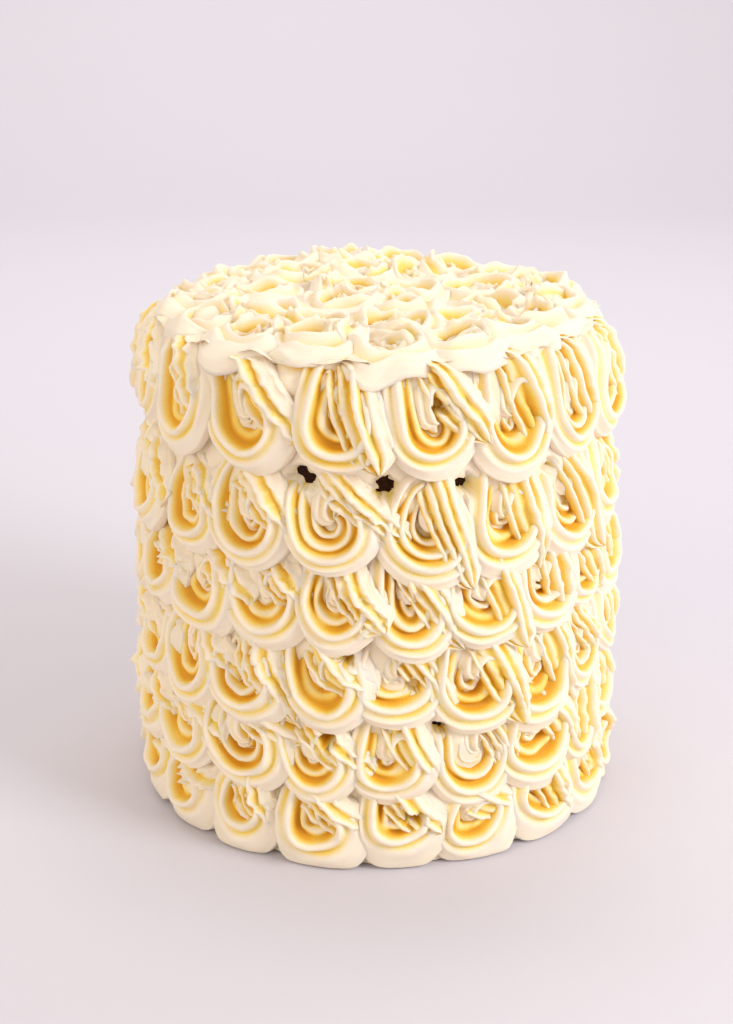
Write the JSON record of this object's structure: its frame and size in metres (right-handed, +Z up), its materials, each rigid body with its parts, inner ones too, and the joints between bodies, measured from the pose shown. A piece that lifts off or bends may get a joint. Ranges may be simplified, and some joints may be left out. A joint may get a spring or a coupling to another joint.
{
  "type": "rosette buttercream cake",
  "caption": "Tall round single-tier cake: dark sponge covered all over in overlapping rings of piped buttercream rosettes.",
  "frame": {"origin": "centre of the cake's base, on the surface that it stands on", "axes": "+Z up along the cake's axis, -Y towards the front, +X to the right seen from the front"},
  "size_m": [0.1813, 0.1821, 0.1798],
  "materials": {
    "buttercream": "pale cream buttercream, soft satin sheen, deeper yellow down in the grooves",
    "chocolate_sponge": "dark, matt, open crumb"
  },
  "bodies": {
    "root": {"sponge": "chocolate_sponge", "rosettes_top_inner": "buttercream", "rosettes_top_middle": "buttercream", "rosettes_top_outer": "buttercream", "rosettes_side_1": "buttercream", "rosettes_side_2": "buttercream", "rosettes_side_3": "buttercream", "rosettes_side_4": "buttercream", "rosettes_side_5": "buttercream", "rosettes_side_6": "buttercream"}
  },
  "joints": []
}
